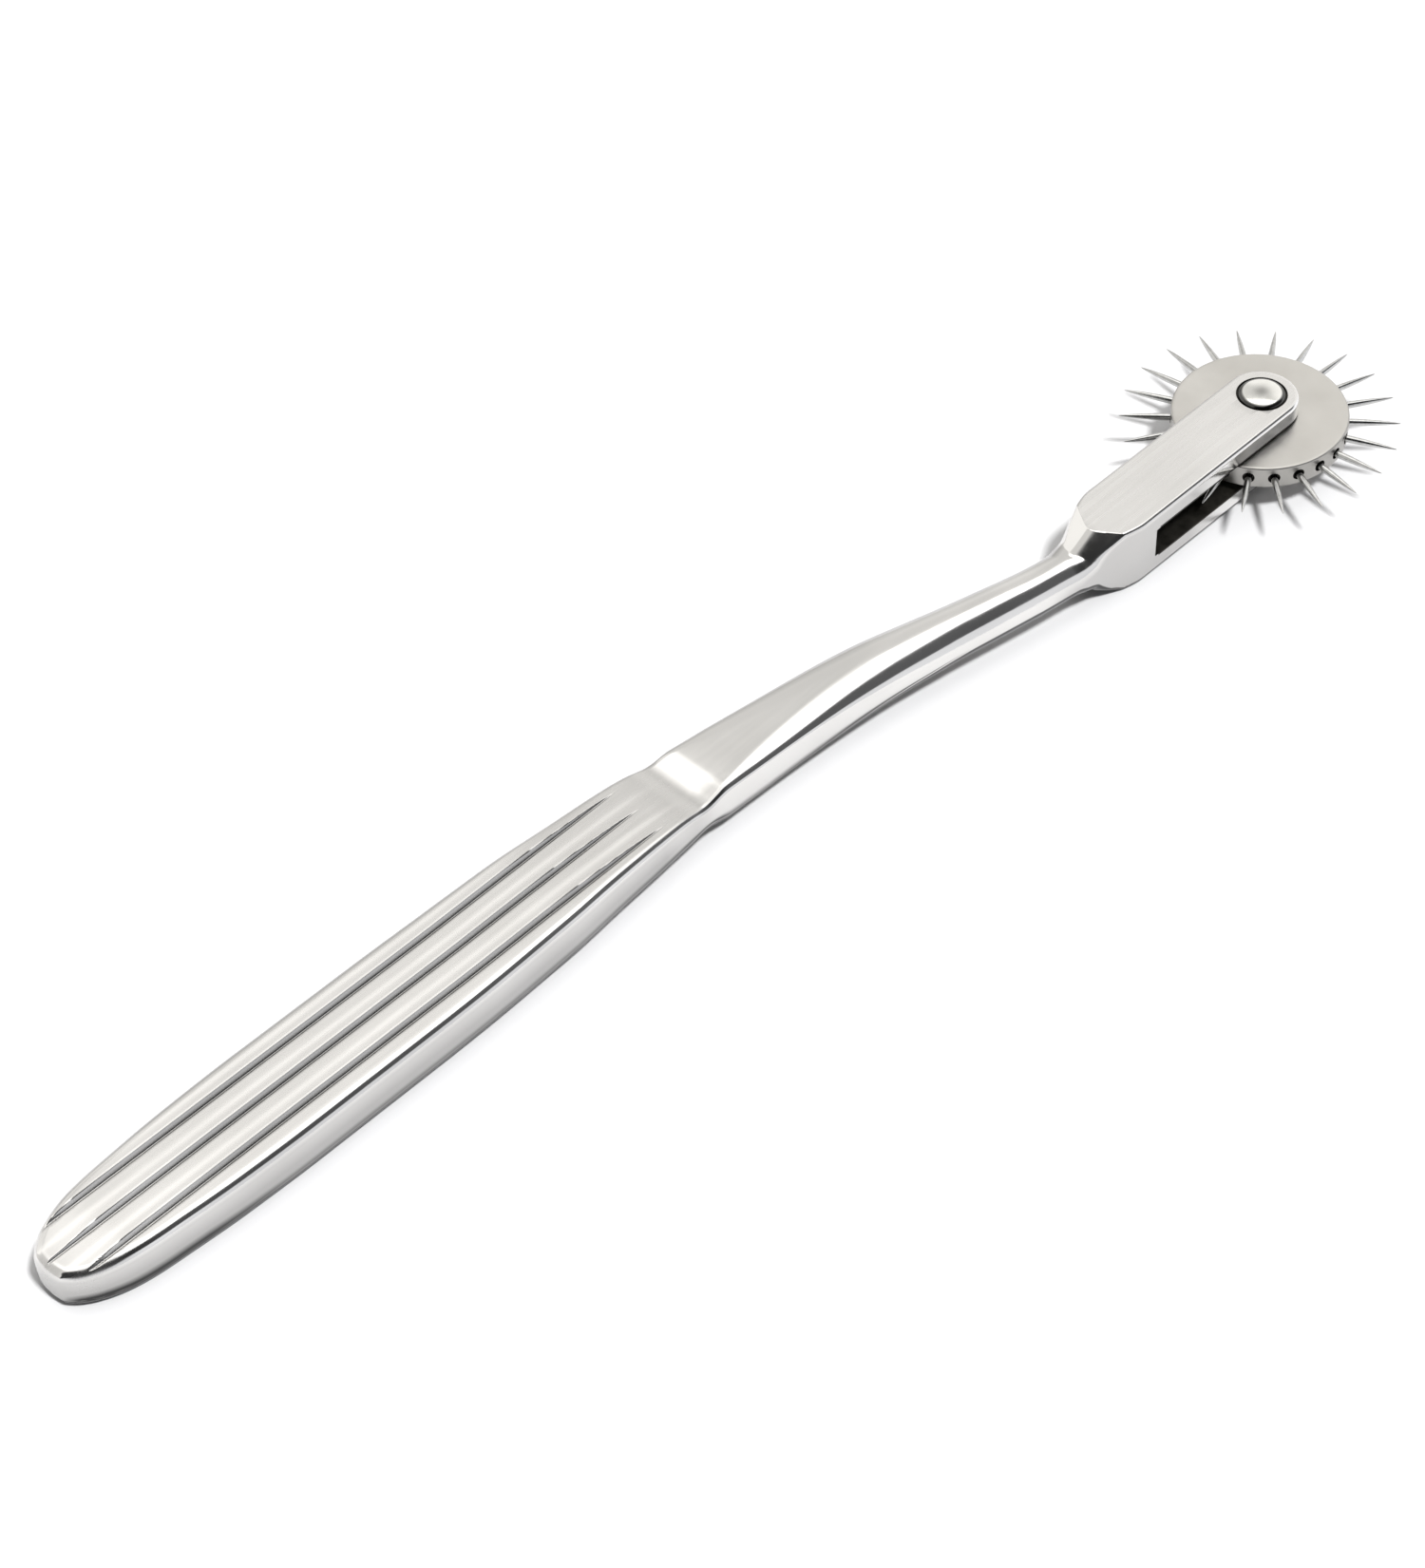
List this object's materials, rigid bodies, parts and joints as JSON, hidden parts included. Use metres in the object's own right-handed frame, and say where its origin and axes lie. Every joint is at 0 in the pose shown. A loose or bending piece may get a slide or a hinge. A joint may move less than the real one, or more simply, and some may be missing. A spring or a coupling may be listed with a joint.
{
  "type": "neurological pinwheel",
  "caption": "Steel sensory-testing pinwheel: a ribbed flat handle drawn into an offset neck and fork, with a freely turning wheel of radial pins riveted in the fork.",
  "frame": {"origin": "under the middle of the overall length, in line with the wheel's axis across the width, at the height of the lower rivet head", "axes": "+X from the handle's end to the wheel, +Z along the wheel's axis, +Y to the side that the handle is offset to"},
  "size_m": [0.1911, 0.0326, 0.0096],
  "materials": {
    "forged_steel": "satin faces with polished edges and neck",
    "turned_steel": "fine satin, turned",
    "pin_steel": "polished, ground to a point",
    "rivet_steel": "polished"
  },
  "bodies": {
    "handle": {"handle_and_fork": "forged_steel", "axle_rivet": "rivet_steel"},
    "wheel": {"wheel_disc": "turned_steel", "pin_01": "pin_steel", "pin_02": "pin_steel", "pin_03": "pin_steel", "pin_04": "pin_steel", "pin_05": "pin_steel", "pin_06": "pin_steel", "pin_07": "pin_steel", "pin_08": "pin_steel", "pin_09": "pin_steel", "pin_10": "pin_steel", "pin_11": "pin_steel", "pin_12": "pin_steel", "pin_13": "pin_steel", "pin_14": "pin_steel", "pin_15": "pin_steel", "pin_16": "pin_steel", "pin_17": "pin_steel", "pin_18": "pin_steel", "pin_19": "pin_steel", "pin_20": "pin_steel", "pin_21": "pin_steel", "pin_22": "pin_steel"}
  },
  "joints": [
    {"name": "wheel_spin", "type": "hinge", "parent": "handle", "child": "wheel", "pos_m": [0.07915, 0, 0.0052], "axis": [0, 0, 1], "continuous": true}
  ]
}
